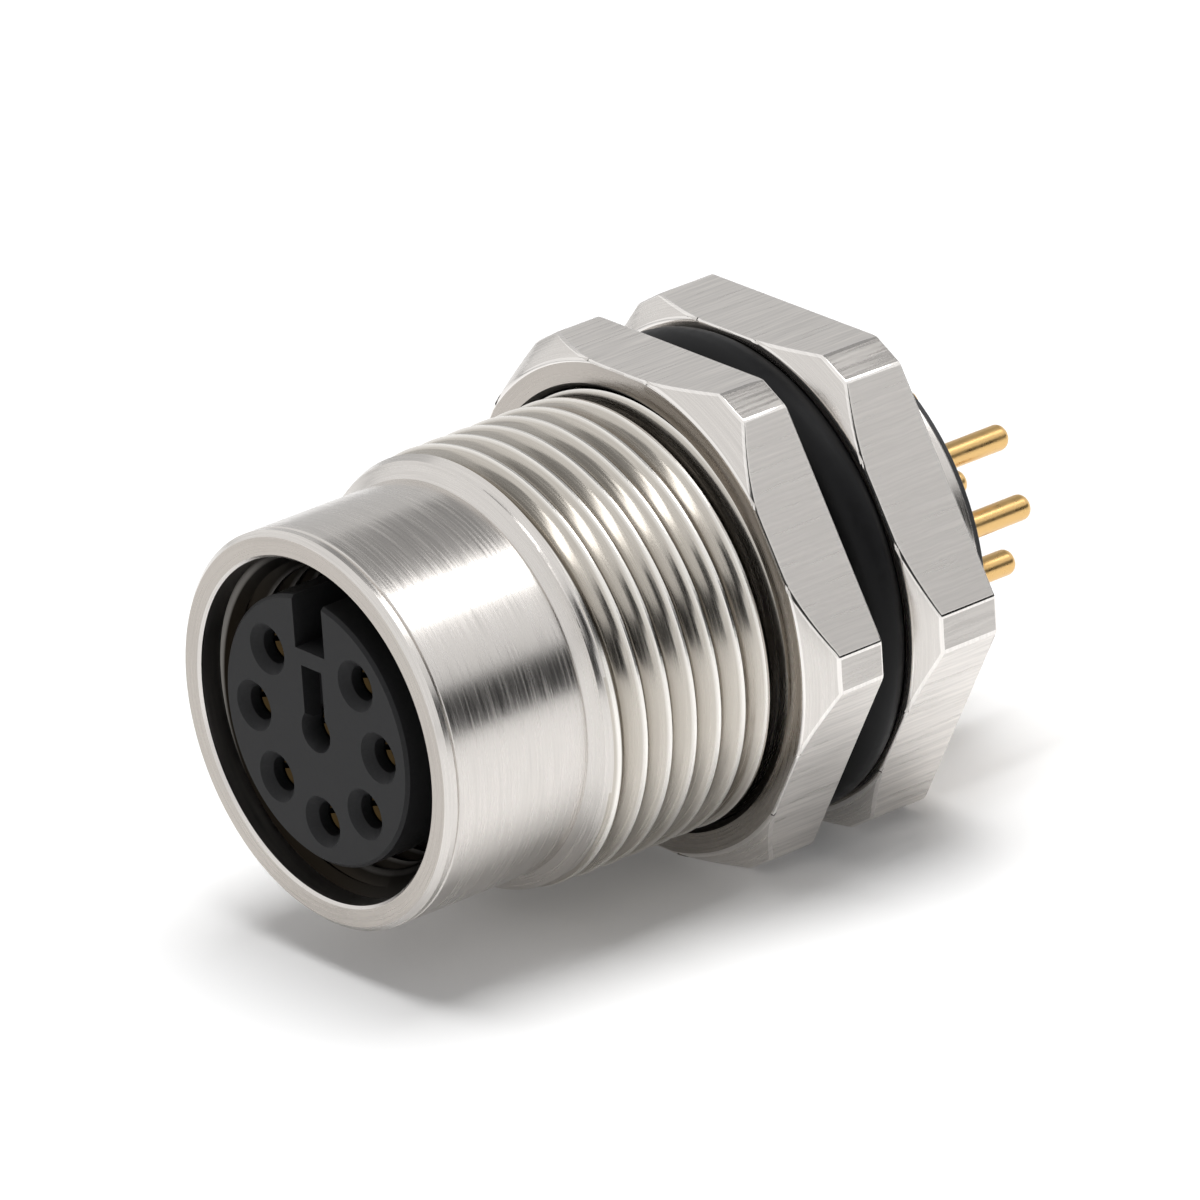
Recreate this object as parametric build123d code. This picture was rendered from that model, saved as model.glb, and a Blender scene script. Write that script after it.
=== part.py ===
from build123d import *

import os
from math import cos, radians, sin, sqrt

# Circular panel receptacle: a turned metal shell with a rear hex flange, clamped in a panel by a
# hex nut, with a moulded insert that holds eight slotted socket contacts.
# Millimetres. Y runs along the connector from the mouth (front) to the solder tails (rear), and
# Z is up. The origin is on the axis, in the front face of the hex flange, where a panel seats.
# Threads are plain cylinders at their crest diameters.

# Shell, outside
barrel_length = 19.4
sleeve_dia = 14.5
sleeve_length = 6.3
mouth_edge_chamfer = 0.15
thread_dia = 16.0
thread_lead_length = 0.7
neck_step = 1.1
neck_length = 2.1

# Hexagon of the flange and of the nut, by its wall over the thread at the flats
hex_wall = 1.0
hex_corner_trim = 0.4
turned_face_excess = 0.2
cone_overrun = 1.5

# Shell, hex flange and rear collar
flange_thickness = 3.2
flange_bevel = 0.65
seal_seat_depth = 0.35
collar_height = 1.15
collar_wall = 0.95
collar_chamfer = 0.15

# Shell, inside
coupling_bore_dia = 12.0
mouth_bore_chamfer = 0.3
coupling_depth = 9.5
shoulder_thickness = 2.0
rear_bore_dia = 12.0
plate_seat_dia = 14.2
plate_seat_depth = 2.6

# Hex nut
nut_thickness = 2.95
nut_bevel = 0.95
nut_thread_clearance = 0.06
nut_countersink = 0.38
nut_rear_chamfer = 0.2
nut_to_seal_gap = 0.4

# Ring seals
panel_seal_section = 2.0
panel_seal_bore_gap = 0.08
insert_seal_section = 1.1
insert_seal_gap = 0.03

# Moulded insert
insert_dia = 9.9
insert_setback = 0.1
insert_edge_chamfer = 0.12
insert_cover = 3.1
seal_groove_setback = 1.6
seal_groove_side_gap = 0.1
slip_clearance = 0.05
index_rib_width = 1.2
index_rib_height = 0.35
index_rib_length = 2.0

# Coding keyway in the rim of the insert, and the key slot that runs into the centre hole
keyway_width = 1.6
keyway_floor_height = 2.95
keyway_length = 7.4
key_slot_width = 1.1
key_slot_top_height = 2.35
key_slot_depth = 0.75

# Contact pattern: seven places on a circle, one place left free at the keyway, and one in the
# centre
circle_contacts = 7
contact_circle_dia = 6.8
contact_step_angle = 45.0

# Contact passages in the insert
entry_hole_dia = 1.26
entry_mouth_dia = 1.88
centre_mouth_dia = 1.56
entry_mouth_depth = 0.35
entry_depth = 0.75
passage_gap = 0.05

# Turned contacts
socket_dia = 1.5
socket_length = 12.0
socket_bore_dia = 0.9
socket_bore_depth = 6.5
socket_lead_in = 0.12
spring_slot_width = 0.22
spring_slot_length = 5.0
contact_collar_dia = 2.0
contact_collar_length = 1.5
tail_root_dia = 1.32
tail_root_setback = 0.08
tail_dia = 0.96
tail_reach = 6.05
tail_end_radius = 0.32

# Rear closure
pin_plate_rim_thickness = 0.25
pin_plate_chamfer = 0.05
bond_film = 0.03

# Places along Y that the sizes fix
mouth_y = -barrel_length
thread_start_y = mouth_y + sleeve_length
shoulder_front_y = mouth_y + coupling_depth
shoulder_rear_y = shoulder_front_y + shoulder_thickness
flange_rear_y = flange_thickness
rear_face_y = flange_rear_y + collar_height
plate_seat_y = rear_face_y - plate_seat_depth
plate_rear_y = rear_face_y + pin_plate_rim_thickness
insert_face_y = mouth_y + insert_setback
contact_front_y = insert_face_y + entry_depth + passage_gap
contact_collar_y = contact_front_y + socket_length
tail_start_y = contact_collar_y + contact_collar_length
insert_rear_y = tail_start_y + insert_cover
tail_root_end_y = plate_rear_y - tail_root_setback
tail_tip_y = rear_face_y + tail_reach
seal_front_y = seal_seat_depth - panel_seal_section
nut_rear_y = seal_front_y - nut_to_seal_gap
nut_front_y = nut_rear_y - nut_thickness

# Diameters that follow from a neighbour and its wall, step or clearance
neck_dia = thread_dia - 2 * neck_step
hex_across_flats = thread_dia + 2 * hex_wall
hex_across_corners = hex_across_flats / cos(radians(30)) - 2 * hex_corner_trim
turned_face_dia = hex_across_flats + turned_face_excess
seal_seat_reach = sqrt(seal_seat_depth * (panel_seal_section - seal_seat_depth))
seal_seat_dia = (
    neck_dia
    + 2 * (panel_seal_bore_gap + slip_clearance)
    + panel_seal_section
    + 2 * seal_seat_reach
)
collar_dia = plate_seat_dia + 2 * collar_wall
pin_plate_rim_dia = collar_dia - 2 * (collar_chamfer + slip_clearance)
nut_bore_dia = thread_dia + 2 * nut_thread_clearance
shoulder_bore_dia = insert_dia + 2 * slip_clearance
insert_head_dia = rear_bore_dia - 2 * slip_clearance
seal_groove_dia = insert_head_dia - 2 * insert_seal_section
index_rib_tip = rear_bore_dia / 2 + index_rib_height
passage_dia = socket_dia + 2 * passage_gap
collar_passage_dia = contact_collar_dia + 2 * passage_gap
tail_hole_dia = tail_root_dia + 2 * slip_clearance


def turned(outline):
    """Solid of revolution about Y from a closed outline of (radius, y) points."""
    return revolve(make_face(Polyline(*outline, close=True)), Axis.Y)


def rod(dia, y_from, y_to):
    """Plain cylinder on the axis."""
    return turned([(0, y_from), (dia / 2, y_from), (dia / 2, y_to), (0, y_to)])


def bar(width, y_from, y_to, z_from, z_to):
    """Rectangular bar centred on X = 0."""
    size = (width, abs(y_to - y_from), abs(z_to - z_from))
    return Pos(0, (y_from + y_to) / 2, (z_from + z_to) / 2) * Box(*size)


def ring_seal(section_dia, inner_radius, y_centre):
    """Closed ring of round section about Y."""
    section = Pos(inner_radius + section_dia / 2, y_centre) * Circle(section_dia / 2)
    return revolve(section, Axis.Y)


def hex_bar(y_from, y_to):
    """Hexagonal bar with flats above and below, its six corners planed off."""
    section = Plane(origin=(0, y_from, 0), x_dir=(1, 0, 0), z_dir=(0, 1, 0))
    flats = RegularPolygon(hex_across_flats / 2, 6, major_radius=False)
    corners = RegularPolygon(hex_across_corners / 2, 6, major_radius=False, rotation=30)
    return extrude(section * (flats & corners), y_to - y_from, dir=(0, 1, 0))


def hex_block(y_front, y_rear, bevel):
    """Hexagonal block whose front face is turned to a cone, so that its corners fall back."""
    face_r = turned_face_dia / 2
    beyond_r = face_r + cone_overrun * (hex_across_corners / 2 - face_r)
    cone = turned([
        (0, y_front),
        (face_r, y_front),
        (beyond_r, y_front + cone_overrun * bevel),
        (beyond_r, y_rear),
        (0, y_rear),
    ])
    return hex_bar(y_front, y_rear) & cone


def contact_places():
    """(x, z) of each contact: round the circle from beside the keyway, then the centre."""
    radius = contact_circle_dia / 2
    places = []
    for step in range(1, circle_contacts + 1):
        angle = radians(90 - step * contact_step_angle)
        places.append((radius * cos(angle), radius * sin(angle)))
    places.append((0.0, 0.0))
    return places


def make_flange():
    """Hex flange with the shallow seat of the ring seal turned into its front face."""
    seat = turned([
        (neck_dia / 2, 0),
        (seal_seat_dia / 2, 0),
        (seal_seat_dia / 2, seal_seat_depth),
        (neck_dia / 2, seal_seat_depth),
    ])
    return hex_block(0, flange_rear_y, flange_bevel) - seat


def make_shell():
    """Turned shell: sleeve, thread, seal neck, hex flange and rear collar round a stepped bore."""
    sleeve_r = sleeve_dia / 2
    thread_r = thread_dia / 2
    neck_r = neck_dia / 2
    collar_r = collar_dia / 2
    outside = turned([
        (0, mouth_y),
        (sleeve_r - mouth_edge_chamfer, mouth_y),
        (sleeve_r, mouth_y + mouth_edge_chamfer),
        (sleeve_r, thread_start_y),
        (thread_r, thread_start_y + thread_lead_length),
        (thread_r, -neck_length - (thread_r - neck_r)),
        (neck_r, -neck_length),
        (neck_r, 0),
        (neck_r, flange_rear_y),
        (collar_r, flange_rear_y),
        (collar_r, rear_face_y - collar_chamfer),
        (collar_r - collar_chamfer, rear_face_y),
        (0, rear_face_y),
    ])
    inside = turned([
        (0, mouth_y),
        (coupling_bore_dia / 2 + mouth_bore_chamfer, mouth_y),
        (coupling_bore_dia / 2, mouth_y + mouth_bore_chamfer),
        (coupling_bore_dia / 2, shoulder_front_y),
        (shoulder_bore_dia / 2, shoulder_front_y),
        (shoulder_bore_dia / 2, shoulder_rear_y),
        (rear_bore_dia / 2, shoulder_rear_y),
        (rear_bore_dia / 2, plate_seat_y),
        (plate_seat_dia / 2, plate_seat_y),
        (plate_seat_dia / 2, rear_face_y),
        (0, rear_face_y),
    ])
    index_slot = bar(
        index_rib_width + 2 * slip_clearance,
        insert_rear_y - index_rib_length - slip_clearance,
        plate_seat_y,
        -index_rib_tip - slip_clearance,
        -rear_bore_dia / 2 + index_rib_height,
    )
    return outside + make_flange() - inside - index_slot


def make_nut():
    """Hex nut with a turned front face, countersunk where it starts on the thread."""
    bore_r = nut_bore_dia / 2
    bore = turned([
        (0, nut_front_y),
        (bore_r + nut_countersink, nut_front_y),
        (bore_r, nut_front_y + nut_countersink),
        (bore_r, nut_rear_y - nut_rear_chamfer),
        (bore_r + nut_rear_chamfer, nut_rear_y),
        (0, nut_rear_y),
    ])
    return hex_block(nut_front_y, nut_rear_y, nut_bevel) - bore


def make_panel_seal():
    """Ring seal round the neck, in the seat in the flange's front face."""
    inner_radius = neck_dia / 2 + panel_seal_bore_gap
    return ring_seal(panel_seal_section, inner_radius, seal_front_y + panel_seal_section / 2)


def seal_groove_span():
    """Y of both side walls of the groove round the insert's head."""
    front = shoulder_rear_y + seal_groove_setback
    return front, front + insert_seal_section + 2 * seal_groove_side_gap


def make_insert_seal():
    """Ring seal between the insert's head and the shell's rear bore."""
    front, rear = seal_groove_span()
    section = insert_seal_section - insert_seal_gap
    return ring_seal(section, seal_groove_dia / 2 + insert_seal_gap, (front + rear) / 2)


def contact_passage(mouth_dia):
    """Hollow for one contact: funnel, entry hole, socket passage and the seat of its collar."""
    return turned([
        (0, insert_face_y),
        (mouth_dia / 2, insert_face_y),
        (entry_hole_dia / 2, insert_face_y + entry_mouth_depth),
        (entry_hole_dia / 2, insert_face_y + entry_depth),
        (passage_dia / 2, insert_face_y + entry_depth),
        (passage_dia / 2, contact_collar_y),
        (collar_passage_dia / 2, contact_collar_y),
        (collar_passage_dia / 2, insert_rear_y),
        (0, insert_rear_y),
    ])


def make_insert():
    """Moulded insert: a front barrel with its coding, and a head that seats behind the shoulder."""
    barrel_r = insert_dia / 2
    head_r = insert_head_dia / 2
    groove_front, groove_rear = seal_groove_span()
    body = turned([
        (0, insert_face_y),
        (barrel_r - insert_edge_chamfer, insert_face_y),
        (barrel_r, insert_face_y + insert_edge_chamfer),
        (barrel_r, shoulder_rear_y),
        (head_r, shoulder_rear_y),
        (head_r, groove_front),
        (seal_groove_dia / 2, groove_front),
        (seal_groove_dia / 2, groove_rear),
        (head_r, groove_rear),
        (head_r, insert_rear_y),
        (0, insert_rear_y),
    ])
    index_rib = bar(
        index_rib_width,
        insert_rear_y - index_rib_length,
        insert_rear_y,
        -index_rib_tip,
        -head_r + index_rib_height,
    )
    keyway = bar(
        keyway_width, insert_face_y, insert_face_y + keyway_length, keyway_floor_height, insert_dia
    )
    key_slot = bar(
        key_slot_width, insert_face_y, insert_face_y + key_slot_depth, 0, key_slot_top_height
    )
    insert = body + index_rib - keyway - key_slot
    *circle_places, centre = contact_places()
    for x, z in circle_places:
        insert -= Pos(x, 0, z) * contact_passage(entry_mouth_dia)
    return insert - Pos(centre[0], 0, centre[1]) * contact_passage(centre_mouth_dia)


def make_contact():
    """Turned contact on the axis: a socket slotted into four springs, a collar, a root and a tail."""
    bore_r = socket_bore_dia / 2
    outer_r = socket_dia / 2
    bore_end_y = contact_front_y + socket_bore_depth
    body = turned([
        (bore_r + socket_lead_in, contact_front_y),
        (outer_r - socket_lead_in, contact_front_y),
        (outer_r, contact_front_y + socket_lead_in),
        (outer_r, contact_collar_y),
        (contact_collar_dia / 2, contact_collar_y),
        (contact_collar_dia / 2, tail_start_y),
        (tail_root_dia / 2, tail_start_y),
        (tail_root_dia / 2, tail_root_end_y),
        (tail_dia / 2, tail_root_end_y),
        (tail_dia / 2, tail_tip_y),
        (0, tail_tip_y),
        (0, bore_end_y),
        (bore_r, bore_end_y),
        (bore_r, contact_front_y + socket_lead_in),
    ])
    tip_edge = body.edges().sort_by(Axis.Y)[-1]
    body = fillet(tip_edge, tail_end_radius)
    slot_end_y = contact_front_y + spring_slot_length
    upright_slot = bar(spring_slot_width, contact_front_y, slot_end_y, -outer_r, outer_r)
    level_slot = upright_slot.rotate(Axis.Y, 90)
    return body - upright_slot - level_slot


def make_potting():
    """Resin that fills the shell behind the insert and plugs the contact passages."""
    potting = rod(rear_bore_dia - 2 * bond_film, insert_rear_y, plate_seat_y)
    plug = rod(collar_passage_dia - 2 * bond_film, tail_start_y, insert_rear_y)
    tail_way = rod(tail_root_dia + 2 * bond_film, tail_start_y, plate_seat_y)
    for x, z in contact_places():
        potting = potting + Pos(x, 0, z) * plug - Pos(x, 0, z) * tail_way
    return potting


def make_pin_plate():
    """Moulded plate that closes the rear, laps over the collar and spaces the solder tails."""
    plate_r = plate_seat_dia / 2 - bond_film
    rim_r = pin_plate_rim_dia / 2
    plate = turned([
        (0, plate_seat_y),
        (plate_r, plate_seat_y),
        (plate_r, rear_face_y),
        (rim_r, rear_face_y),
        (rim_r, plate_rear_y - pin_plate_chamfer),
        (rim_r - pin_plate_chamfer, plate_rear_y),
        (0, plate_rear_y),
    ])
    for x, z in contact_places():
        plate -= Pos(x, 0, z) * rod(tail_hole_dia, plate_seat_y, plate_rear_y)
    return plate


nodes = {
    "shell": make_shell(),
    "hex_nut": make_nut(),
    "panel_seal": make_panel_seal(),
    "contact_insert": make_insert(),
    "insert_seal": make_insert_seal(),
    "potting": make_potting(),
    "pin_plate": make_pin_plate(),
}
contact = make_contact()
for number, (x, z) in enumerate(contact_places(), start=1):
    nodes[f"contact_{number}"] = Pos(x, 0, z) * contact

os.makedirs("parts", exist_ok=True)
for name, solid in nodes.items():
    export_step(solid, f"parts/{name}.step")
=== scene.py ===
"""Looks of a circular panel receptacle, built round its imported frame.

Lengths are metres in the part's own frame: +Y runs from the mouth to the solder tails, and +Z is
up, through the coding keyway.
"""

import math

import bpy
from bpy.props import FloatProperty, FloatVectorProperty, IntProperty, PointerProperty
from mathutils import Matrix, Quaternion, Vector


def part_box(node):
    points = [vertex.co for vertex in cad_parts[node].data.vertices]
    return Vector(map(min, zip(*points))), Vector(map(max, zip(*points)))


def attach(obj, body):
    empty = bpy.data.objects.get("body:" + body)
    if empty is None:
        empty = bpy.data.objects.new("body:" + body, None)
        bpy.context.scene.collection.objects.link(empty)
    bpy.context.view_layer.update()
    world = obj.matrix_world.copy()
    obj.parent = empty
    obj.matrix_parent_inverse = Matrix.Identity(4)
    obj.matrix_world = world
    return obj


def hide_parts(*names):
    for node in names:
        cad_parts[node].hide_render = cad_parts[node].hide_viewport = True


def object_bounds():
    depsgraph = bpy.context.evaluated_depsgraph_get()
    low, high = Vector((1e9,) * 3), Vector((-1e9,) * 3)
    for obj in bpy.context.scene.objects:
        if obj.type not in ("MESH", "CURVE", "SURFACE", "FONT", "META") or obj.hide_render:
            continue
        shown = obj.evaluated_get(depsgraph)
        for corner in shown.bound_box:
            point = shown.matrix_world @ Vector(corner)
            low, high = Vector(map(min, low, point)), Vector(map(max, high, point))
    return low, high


bl_info = {
    "name": "Panel Receptacle Looks",
    "version": (1, 0, 0),
    "blender": (4, 5, 0),
    "location": "3D View > Sidebar > Receptacle",
    "description": "Models the dressed pieces of a circular panel receptacle and its studio",
    "category": "Object",
}

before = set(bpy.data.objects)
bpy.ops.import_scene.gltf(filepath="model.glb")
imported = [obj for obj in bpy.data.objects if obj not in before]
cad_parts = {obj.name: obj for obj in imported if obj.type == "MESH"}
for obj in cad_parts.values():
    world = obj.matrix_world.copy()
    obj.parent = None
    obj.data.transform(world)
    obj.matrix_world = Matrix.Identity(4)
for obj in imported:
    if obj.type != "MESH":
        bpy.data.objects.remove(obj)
cad_lowest, cad_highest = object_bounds()

shell_low, shell_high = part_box("shell")
nut_low, nut_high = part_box("hex_nut")
seal_low, seal_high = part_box("panel_seal")
insert_low, insert_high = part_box("contact_insert")
plate_low, plate_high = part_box("pin_plate")
contact_low, contact_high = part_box("contact_8")

MM = 0.001
FULL_TURN = 2 * math.pi
SIXTH_TURN = FULL_TURN / 6
MERGE_DISTANCE = 1e-6

# The flats are the nearest that a hexagon comes to the axis
PLANED_RADIUS = shell_high.z - 0.05 * MM

# On a hexagon, flatter edges than this aren't rounded and closer vertices are merged
LEAST_BEND = math.radians(8)
SLIVER = 0.045 * MM

# How far a cutter stands out of what it cuts
BEYOND = 0.1 * MM

# Facets round a whole moulding, a funnel and a small hole or contact
MOULDED_STEPS = 192
FUNNEL_STEPS = 64
SMALL_STEPS = 48

# Material slots of a turned piece, behind the slot of its plain turned surface
FLAT, CORNER, BORE, THREAD, EDGE, WALL, FACE = range(1, 8)


def length(name, about, default):
    """A length that a user can set, in metres; its default is given in millimetres."""
    return FloatProperty(
        name=name, description=about, default=default * MM, unit="LENGTH", precision=5
    )


def angle(name, about, default):
    """An angle that a user can set, in radians; its default is given in degrees."""
    return FloatProperty(
        name=name, description=about, default=math.radians(default), subtype="ANGLE"
    )


def number(name, about, default):
    """A plain number that a user can set."""
    return FloatProperty(name=name, description=about, default=default)


def tint(name, about, default):
    """A colour that a user can set, linear red, green and blue."""
    return FloatVectorProperty(
        name=name, description=about, default=default, subtype="COLOR", size=3, min=0, max=1
    )


class ShellSizes(bpy.types.PropertyGroup):
    """Sizes of the turned shell."""

    sleeve_radius: length("Sleeve radius", "Outside of the plain sleeve", 7.25)
    sleeve_length: length("Sleeve length", "From the mouth to the panel thread", 6.3)
    rim_chamfer: length("Rim chamfer", "Outer edge of the mouth", 0.2)
    rim_groove_setback: length("Rim groove setback", "Groove behind the mouth", 0.42)
    rim_groove_width: length("Rim groove width", "Groove behind the mouth", 0.14)
    rim_groove_depth: length("Rim groove depth", "Groove behind the mouth", 0.1)
    mouth_bore_radius: length("Mouth bore radius", "Counterbore at the mouth", 6.3)
    mouth_bore_depth: length("Mouth bore depth", "Plain length before the thread", 0.95)
    coupling_crest_radius: length("Coupling crest radius", "Inner thread, crests", 5.5)
    coupling_root_radius: length("Coupling root radius", "Inner thread, roots", 5.98)
    coupling_pitch: length("Coupling pitch", "Inner thread, one turn", 1.0)
    coupling_depth: length("Coupling depth", "Mouth to the inner shoulder", 9.5)
    shoulder_radius: length("Shoulder radius", "Bore round the insert's barrel", 5.0)
    shoulder_thickness: length("Shoulder thickness", "Wall that the insert seats on", 2.0)
    rear_bore_radius: length("Rear bore radius", "Bore round the insert's head", 6.0)
    plate_seat_radius: length("Plate seat radius", "Recess of the pin plate", 7.1)
    plate_seat_depth: length("Plate seat depth", "Recess of the pin plate", 2.6)
    thread_radius: length("Thread radius", "Panel thread, crests", 8.0)
    thread_root_radius: length("Thread root radius", "Panel thread, roots", 7.8)
    thread_pitch: length("Thread pitch", "Panel thread, one turn", 1.107)
    thread_crest_width: length("Thread crest width", "Flat on the top", 0.09)
    thread_lead: length("Thread lead", "Where the thread starts", 0.6)
    thread_phase: number(
        "Thread phase", "Where on the turn the groove crosses the top, in turns", 0.25
    )
    neck_radius: length("Neck radius", "Neck under the ring seal", 6.9)
    neck_length: length("Neck length", "Neck under the ring seal", 2.1)
    seal_seat_radius: length("Seal seat radius", "Seat of the ring seal", 8.79)
    seal_seat_depth: length("Seal seat depth", "Seat of the ring seal", 0.35)
    flange_thickness: length("Flange thickness", "Hexagonal flange", 3.2)
    flange_bevel: length("Bevel", "Fall of the front cone", 0.65)
    collar_radius: length("Collar radius", "Round collar at the rear", 8.05)
    face_radius: length("Turned face radius", "Where the cones start", 9.1)
    edge_round: length("Edge round", "Rounding of the hexagon's edges", 0.09)
    steps: IntProperty(name="Steps", description="Facets round the axis", default=288, min=48)


class NutSizes(bpy.types.PropertyGroup):
    """Sizes of the hex nut."""

    bore_radius: length("Bore radius", "Crests of the nut's thread", 8.06)
    root_radius: length("Root radius", "Roots of the nut's thread", 8.32)
    countersink: length("Countersink", "Chamfer at the front of the bore", 0.2)
    rear_chamfer: length("Rear chamfer", "Chamfer at the rear of the bore", 0.2)
    bevel: length("Bevel", "Fall of the front cone", 0.95)


class SealSizes(bpy.types.PropertyGroup):
    """Sizes of the ring seal."""

    parting_line: length("Parting line", "Height of the moulding line", 0.03)


class InsertSizes(bpy.types.PropertyGroup):
    """Sizes of the moulded insert."""

    barrel_radius: length("Barrel radius", "Front barrel", 4.95)
    edge_chamfer: length("Edge chamfer", "Front edge of the barrel", 0.12)
    keyway_width: length("Keyway width", "Coding keyway in the rim", 1.6)
    keyway_floor: length("Keyway floor", "Height of its floor over the axis", 2.95)
    keyway_length: length("Keyway length", "Along the barrel", 7.4)
    slot_width: length("Key slot width", "Slot into the centre hole", 1.1)
    slot_top: length("Key slot top", "Height of its end over the axis", 2.35)
    slot_depth: length("Key slot depth", "Into the face", 0.75)
    circle_radius: length("Circle radius", "Circle of the contacts", 3.4)
    hole_radius: length("Hole radius", "Entry holes", 0.63)
    mouth_radius: length("Mouth radius", "Funnels of the entry holes", 0.94)
    centre_mouth_radius: length("Centre mouth radius", "Funnel of the centre hole", 0.78)
    mouth_depth: length("Mouth depth", "Depth of the funnels", 0.35)
    entry_depth: length("Entry depth", "Face to the contact's passage", 0.75)
    passage_radius: length("Passage radius", "Passage of the sockets", 0.8)
    passage_depth: length("Passage depth", "As far as can be seen in", 6.0)
    circle_contacts: IntProperty(
        name="Contacts on the circle", description="Round the centre one", default=7, min=1, max=8
    )
    step_angle: angle("Step angle", "Between places on the circle", 45)


class ContactSizes(bpy.types.PropertyGroup):
    """Sizes of a turned contact."""

    socket_radius: length("Socket radius", "Outside of the socket", 0.75)
    bore_radius: length("Bore radius", "Inside of the socket", 0.45)
    bore_depth: length("Bore depth", "Inside of the socket", 6.5)
    lead_in: length("Lead-in", "Chamfers at the socket's mouth", 0.12)
    slot_width: length("Slot width", "Slots between the springs", 0.22)
    slot_length: length("Slot length", "Slots between the springs", 5.0)
    socket_length: length("Socket length", "Mouth to the collar", 12.0)
    collar_radius: length("Collar radius", "Collar behind the socket", 1.0)
    collar_length: length("Collar length", "Collar behind the socket", 1.5)
    root_radius: length("Root radius", "Root of the tail", 0.66)
    root_end: length("Root end", "Y of the root's end", 4.52)
    tail_radius: length("Tail radius", "Solder tail", 0.48)
    tip_round: length("Tip round", "Rounding of the tail's tip", 0.32)


class PlateSizes(bpy.types.PropertyGroup):
    """Sizes of the pin plate."""

    body_radius: length("Body radius", "Inside the collar", 7.07)
    rim_thickness: length("Rim thickness", "Rim that laps over the collar", 0.25)
    chamfer: length("Chamfer", "Rear edge", 0.05)
    hole_radius: length("Hole radius", "Round each tail's root", 0.71)


class FinishColours(bpy.types.PropertyGroup):
    """Colours of the finishes; besides the plain nickel, the nickel colours paint light and shade by place.
    """

    nickel: tint("Nickel", "Plating of the shell and the nut", (0.68, 0.65, 0.62))
    # Painted light: the flats' nickel is painted lighter than the plain nickel
    flats: tint("Flats", "Milled flats of the hexagons", (0.86, 0.825, 0.79))
    # Painted shade: the corners' nickel is painted darker than the plain nickel
    corners: tint("Corners", "Milled corners of the hexagons", (0.58, 0.555, 0.53))
    # Painted shade: the front faces and the mouth's rim are painted darker than the plain nickel
    faces: tint("Faces", "Turned front faces of the hexagons", (0.47, 0.435, 0.4))
    # Painted highlight: the rounded edges are painted brighter than the plain nickel
    edges: tint("Edges", "Bright edges of the hexagons", (0.85, 0.82, 0.79))
    # Painted highlight on the panel thread's crests; its tones paint shade in the valleys
    thread: tint("Thread", "Crests of the panel thread", (0.9, 0.86, 0.82))
    # Painted shade: nickel darkened inside the bores, with painted highlights on the coupling thread's
    # crests
    bore: tint("Bore", "Thin plating inside the bores", (0.18, 0.172, 0.163))
    # Painted shade: nickel darkened on the plain wall inside the mouth
    wall: tint("Wall", "Plain wall inside the mouth", (0.34, 0.32, 0.3))
    # Painted shade: the nut's bore and thread are darkened nearly to black
    shaded: tint("Shaded", "Dull thread inside the nut", (0.05, 0.048, 0.045))
    insert: tint("Insert", "Moulded insert", (0.02, 0.02, 0.021))
    rubber: tint("Rubber", "Ring seals", (0.0075, 0.0075, 0.008))
    resin: tint("Resin", "Potting", (0.02, 0.02, 0.02))
    plate: tint("Plate", "Pin plate", (0.035, 0.035, 0.037))
    gold: tint("Gold", "Plating of the contacts", (0.78, 0.51, 0.21))


class StageSettings(bpy.types.PropertyGroup):
    """Camera, floor and light."""

    azimuth: angle("Azimuth", "Round the part", 51.435)
    elevation: angle("Elevation", "Above the horizon", 22.98)
    roll: angle("Roll", "Of the camera about its line of sight", -3.916)
    distance: length("Distance", "Camera to its aim", 481.8)
    focal_length: number("Focal length", "In millimetres on a 36 mm sensor", 420.0)
    aim: FloatVectorProperty(
        name="Aim",
        description="Point in the middle of the picture",
        default=(5.138 * MM, -10.524 * MM, 3.574 * MM),
        subtype="TRANSLATION",
        size=3,
    )
    floor_drop: length("Floor drop", "Floor below the part", 0.02)
    floor_lift: number("Floor lift", "Added to the floor's own light where it is seen", 0.07)
    fill: number("Fill", "Light from all round", 0.28)


GROUPS = {
    "receptacle_shell": ShellSizes,
    "receptacle_nut": NutSizes,
    "receptacle_seal": SealSizes,
    "receptacle_insert": InsertSizes,
    "receptacle_contact": ContactSizes,
    "receptacle_plate": PlateSizes,
    "receptacle_colours": FinishColours,
    "receptacle_stage": StageSettings,
}


def from_axis(point):
    """Distance of a point from the Y axis."""
    return math.hypot(point.x, point.z)


def to_object_mode():
    """Leaves edit mode and deselects everything."""
    if bpy.context.object and bpy.context.object.mode != "OBJECT":
        bpy.ops.object.mode_set(mode="OBJECT")
    bpy.ops.object.select_all(action="DESELECT")


def select_only(piece):
    """Makes a piece the only one selected, and the active one."""
    to_object_mode()
    piece.select_set(True)
    bpy.context.view_layer.objects.active = piece


def edit(piece):
    """Enters edit mode on a piece alone, to select vertices."""
    select_only(piece)
    bpy.ops.object.mode_set(mode="EDIT")
    bpy.ops.mesh.select_mode(type="VERT")


def trace(name, outline):
    """Draws a closed outline of (radius, y) points in the X-Y plane, point by point."""
    to_object_mode()
    bpy.ops.mesh.primitive_plane_add(size=MM)
    piece = bpy.context.object
    piece.name = name
    edit(piece)
    bpy.ops.mesh.select_all(action="SELECT")
    bpy.ops.mesh.merge(type="CENTER")
    points = [Vector((*point, 0)) for point in outline]
    points.append(points[0])
    bpy.ops.transform.translate(value=points[0])
    for here, there in zip(points, points[1:]):
        bpy.ops.mesh.extrude_region_move(TRANSFORM_OT_translate={"value": there - here})
    bpy.ops.mesh.select_all(action="SELECT")
    bpy.ops.mesh.remove_doubles(threshold=MERGE_DISTANCE)
    bpy.ops.object.mode_set(mode="OBJECT")
    return piece


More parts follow.
